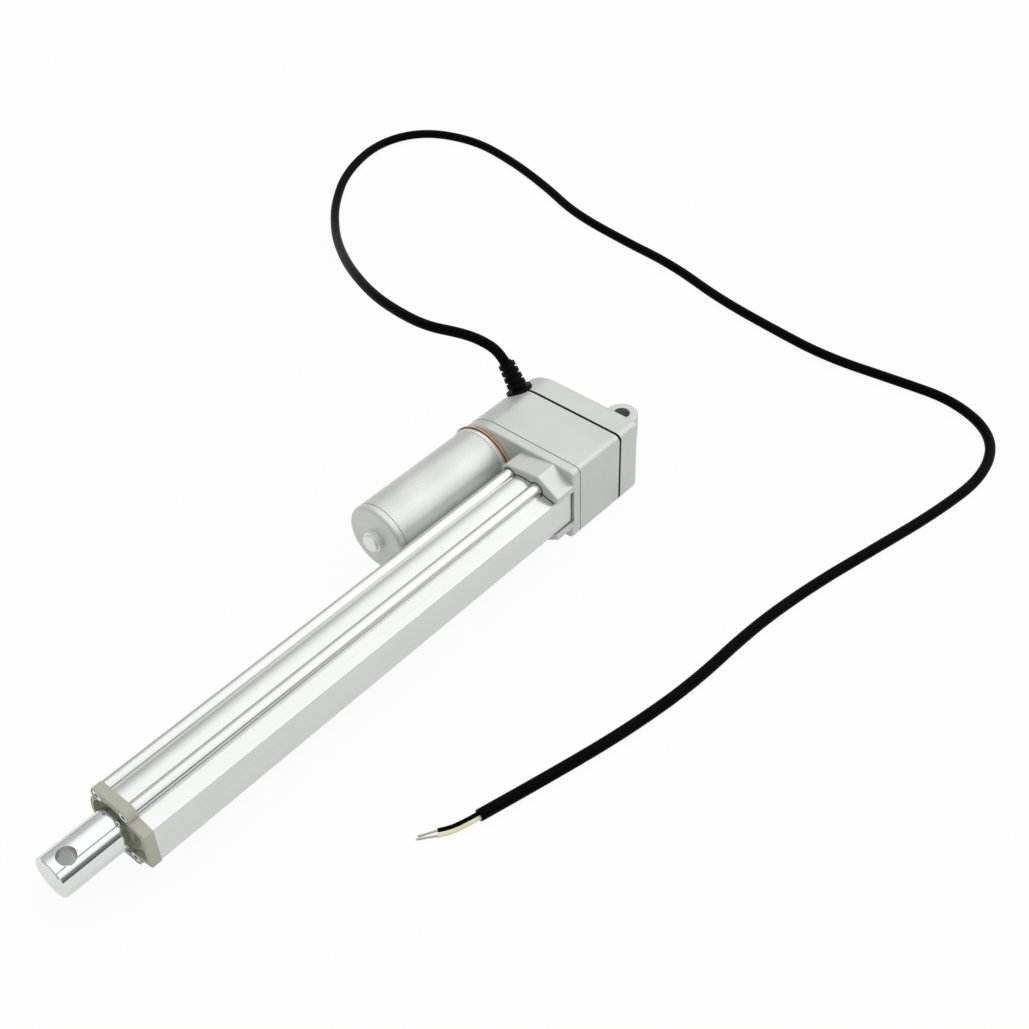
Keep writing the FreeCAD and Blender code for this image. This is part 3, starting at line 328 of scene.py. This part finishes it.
def surface(name, values):
    # a Principled surface whose two tones, roughness and relief follow a noise of the grain's real size
    # in mm, stretched along an axis where the finish has a direction; patches carry tones of their own
    material, tree = newMaterial(name)
    place = addNode(tree, "TexCoord").outputs["Object"]
    stretched = addNode(tree, "Mapping", {"Vector": place, "Scale": values.get("stretch", (1, 1, 1))})
    grain = addNode(tree, "TexNoise", {"Vector": stretched.outputs[0], "Scale": perMetre(values["grain"]),
                                       "Detail": 3.0, "Roughness": 0.6}).outputs["Fac"]
    cloud = addNode(tree, "TexNoise", {"Vector": place, "Scale": perMetre(values.get("cloud", 30)),
                                       "Detail": 2.0}).outputs["Fac"]
    spread = addNode(tree, "Math", {0: grain, 1: cloud}, operation="ADD")
    blend = addNode(tree, "MapRange", {"Value": spread.outputs[0], "From Min": sumSpan[0],
                                       "From Max": sumSpan[1]}).outputs["Result"]
    patches = values.get("patches", [])
    tones, polishes = [], []
    for coat in [values, *patches]:
        mixed = addNode(tree, "Mix", {"Factor": blend, "A": linear(coat["dark"]), "B": linear(coat["light"])},
                        data_type="RGBA")
        rubbed = addNode(tree, "MapRange", {"Value": grain, "From Min": grainSpan[0],
                                            "From Max": grainSpan[1], "To Min": coat["smooth"],
                                            "To Max": coat["rough"]})
        tones.append(mixed.outputs["Result"])
        polishes.append(rubbed.outputs["Result"])
    tone, polish = tones[0], polishes[0]
    for patch, patchTone, patchPolish in zip(patches, tones[1:], polishes[1:]):
        here = within(tree, place, patch)
        tone = addNode(tree, "Mix", {"Factor": here, "A": tone, "B": patchTone},
                       data_type="RGBA").outputs["Result"]
        polish = addNode(tree, "Mix", {"Factor": here, "A": polish, "B": patchPolish}).outputs["Result"]
    relief = addNode(tree, "Bump", {"Height": grain, "Distance": values.get("relief", 0.01) / 1000,
                                    "Strength": values.get("strength", 0.5)})
    skin = addNode(tree, "BsdfPrincipled", {"Base Color": tone, "Metallic": values.get("metal", 0.0),
                                            "Roughness": polish, "Normal": relief.outputs[0]})
    for socket, value in values.get("shader", {}).items():
        skin.inputs[socket].default_value = value
    addNode(tree, "OutputMaterial", {"Surface": skin.outputs[0]})
    return material


def dress(material, *names):
    for name in names:
        mesh = nodes[name].data
        mesh.materials.clear()
        mesh.materials.append(material)


# gear head: die-cast aluminium under silver paint, with a faint even orange-peel
headValues = {"dark": "#C4C8C3", "light": "#CED2CD", "metal": 0.42, "smooth": 0.32, "rough": 0.44,
              "grain": 0.9, "relief": 0.02, "strength": 0.4, "cloud": 25,
              "patches": [{"axis": (0, 0, 1), "radius": 4.3, "dark": "#8E918D", "light": "#9A9D99",
                           "smooth": 0.3, "rough": 0.45}]}   # bored eye, bare metal, toned darker as painted shade inside the bore
dress(surface("paintedDieCastAluminium", headValues), "rear_cover", "gear_housing", "front_flange")

# tube: extruded aluminium, clear anodised, with fine die lines along its length
tubeValues = {"dark": "#D4D6D4", "light": "#DBDDDB", "metal": 1.0, "smooth": 0.19, "rough": 0.23,
              "grain": 0.8, "stretch": (0.01, 1, 1), "relief": 0.001, "strength": 0.2, "cloud": 60}
dress(surface("anodisedAluminium", tubeValues), "outer_tube")

# front cap: moulded nylon in a grey beige, slightly matt
capValues = {"dark": "#A8A99B", "light": "#B3B4A6", "smooth": 0.42, "rough": 0.52,
             "grain": 0.8, "relief": 0.01}
dress(surface("mouldedNylon", capValues), "front_cap")

# wiper: moulded polyurethane, duller than the cap around it; its darker olive grey is painted shade of the
# recess in the cap
wiperValues = {"dark": "#7F8074", "light": "#8D8E82", "smooth": 0.5, "rough": 0.62,
               "grain": 0.6, "relief": 0.01}
dress(surface("mouldedPolyurethane", wiperValues), "rod_wiper_seal")

# rod: ground stainless steel, bright, with the finest lines around it
rodValues = {"dark": "#DCDEDD", "light": "#E4E6E5", "metal": 1.0, "smooth": 0.07, "rough": 0.1,
             "grain": 0.5, "stretch": (1, 0.05, 0.05), "relief": 0.0005, "strength": 0.1,
             "patches": [{"centre": (359, 0, 0), "axis": (0, 0.2840153, 0.9588197), "radius": 4.3,
                          "dark": "#A2A4A2", "light": "#B2B4B2",
                          "smooth": 0.22, "rough": 0.3}]}   # drilled eye, a rougher finish, toned darker as painted shade inside the hole
dress(surface("groundStainlessSteel", rodValues), "rod")

# motor can and its end cap: pressed steel under silver paint with a fine speckle
motorValues = {"dark": "#C8CAC6", "light": "#DADCD8", "metal": 0.55, "smooth": 0.34, "rough": 0.46,
               "grain": 0.8, "relief": 0.02, "strength": 0.6, "cloud": 18,
               "patches": [{"centre": (0, -38, 0), "axis": (1, 0, 0), "radius": 5.7, "start": 145.4,
                            "dark": "#F4F4F2", "light": "#FAFAF8",
                            "smooth": 0.14, "rough": 0.2}]}   # bare metal boss; its near-white tone is partly painted highlight
dress(surface("speckledSilverPaint", motorValues), "motor_can", "motor_end_cap")

# ring at the motor's foot: rolled copper; its pale peach face is partly painted highlight, and the brown band
# at its edge is painted shade of the groove next to the bell
ringValues = {"dark": "#EAC6A2", "light": "#F5D9BA", "metal": 0.35, "smooth": 0.25, "rough": 0.35,
              "grain": 1.5,
              "patches": [{"axis": (1, 0, 0), "start": 67.6, "dark": "#6E3F20", "light": "#855029",
                           "smooth": 0.35, "rough": 0.45}]}   # painted shade of the groove next to the bell
dress(surface("rolledCopper", ringValues), "motor_seal_ring")

# motor's back plate: pressed steel with a pale zinc plate
bellValues = {"dark": "#E4E1DC", "light": "#F0EEEA", "metal": 0.6, "smooth": 0.3, "rough": 0.4, "grain": 1.0}
dress(surface("zincPlatedSteel", bellValues), "motor_end_bell")

# boot and thick gasket: moulded rubber, a dull black
rubberValues = {"dark": "#040404", "light": "#080808", "smooth": 0.45, "rough": 0.6,
                "grain": 0.8, "relief": 0.02, "shader": {"Specular IOR Level": 0.08}}
dress(surface("mouldedBlackRubber", rubberValues), "cable_boot", "cover_gasket")

# sheath and black core: extruded PVC, a deep black with only a faint sheen
sheathValues = {"dark": "#030303", "light": "#060606", "smooth": 0.42, "rough": 0.5,
                "grain": 0.9, "relief": 0.005, "shader": {"Specular IOR Level": 0.03}}
sheath = surface("extrudedBlackPvc", sheathValues)
cable.data.materials.append(sheath)
dress(sheath, "cable_core_black")

# second core: extruded PVC in cream, satin
creamValues = {"dark": "#D8D2A8", "light": "#E8E3C2", "smooth": 0.36, "rough": 0.46, "grain": 0.7}
dress(surface("extrudedCreamPvc", creamValues), "cable_core_white")

# bare wires: drawn copper with a coat of tin, a greyish silver
tinnedValues = {"dark": "#A9A79E", "light": "#D2D0C8", "metal": 1.0, "smooth": 0.25, "rough": 0.4,
                "grain": 0.4}
strands.data.materials.append(surface("tinnedCopper", tinnedValues))

# thin joint in the gear head: pressed gasket paper, dark and matt
paperValues = {"dark": "#3A3B3A", "light": "#4A4B4A", "smooth": 0.7, "rough": 0.85, "grain": 0.5}
dress(surface("pressedGasketPaper", paperValues), "flange_gasket")

# screws: steel with a bright zinc plate
screwValues = {"dark": "#D2D4D4", "light": "#E3E5E4", "metal": 1.0, "smooth": 0.16, "rough": 0.26,
               "grain": 0.5}
dress(surface("brightZincPlate", screwValues),
      "front_cap_screws", "housing_screws", "tube_screws", "motor_screws")

# inner pieces, each finish with the pieces that have it
innerFinishes = {
    # pressed from powder, a brown with open grain
    "sinteredBronze": ({"dark": "#8A6B3C", "light": "#B08D55", "metal": 1.0, "smooth": 0.35, "rough": 0.5,
                        "grain": 0.4}, ("motor_back_bush", "motor_front_bush", "motor_pinion")),
    # turned on a lathe, with fine rings about its axis
    "turnedSteel": ({"dark": "#9A9C9D", "light": "#B4B6B7", "metal": 1.0, "smooth": 0.2, "rough": 0.32,
                     "grain": 0.4, "stretch": (1, 0.05, 0.05)},
                    ("lead_screw", "motor_shaft", "gear_axle", "screw_retaining_clip", "bearing_outer_race",
                     "bearing_inner_race", "bearing_balls", "bearing_retainer")),
    # moulded, a waxy white
    "mouldedAcetal": ({"dark": "#DAD9D2", "light": "#E8E7E1", "smooth": 0.3, "rough": 0.42, "grain": 0.8},
                      ("screw_gear", "reduction_gear", "screw_tip_guide", "front_guide_bush", "drive_nut",
                       "axle_spacers", "brush_holder")),
    # fired from powder, charcoal grey
    "sinteredFerrite": ({"dark": "#2C2B2B", "light": "#3A3938", "smooth": 0.5, "rough": 0.7, "grain": 0.3},
                        ("motor_magnets",)),
    # a stack of stamped sheets, with their edges as fine lines
    "laminatedSteel": ({"dark": "#5D5F62", "light": "#7A7C7E", "metal": 1.0, "smooth": 0.35, "rough": 0.5,
                        "grain": 0.5, "stretch": (1, 0.05, 0.05)}, ("armature_core",)),
    # drawn copper, deep red brown under its enamel
    "enamelledCopperWire": ({"dark": "#7E3F1C", "light": "#B4652F", "metal": 1.0, "smooth": 0.25,
                             "rough": 0.4, "grain": 0.5}, ("armature_windings", "commutator")),
    # pressed and baked, nearly black
    "pressedCarbon": ({"dark": "#202021", "light": "#303031", "smooth": 0.4, "rough": 0.6, "grain": 0.2},
                      ("carbon_brushes",)),
    # moulded, a matt black
    "blackNylon": ({"dark": "#1B1B1C", "light": "#272728", "smooth": 0.42, "rough": 0.55, "grain": 0.6},
                   ("nut_wear_ring", "limit_switches")),
    # glass cloth pressed in resin, under a green lacquer
    "glassEpoxyBoard": ({"dark": "#1E5A34", "light": "#2A7044", "smooth": 0.3, "rough": 0.42, "grain": 0.6},
                        ("limit_switch_board",)),
}
for finishName, (finishValues, pieceNames) in innerFinishes.items():
    dress(surface(finishName, finishValues), *pieceNames)
print("finishes set, inner ones:", len(innerFinishes))

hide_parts("power_cable")
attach(cable, "frame")
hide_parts("core_tips")
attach(strands, "frame")
bpy.context.view_layer.update()
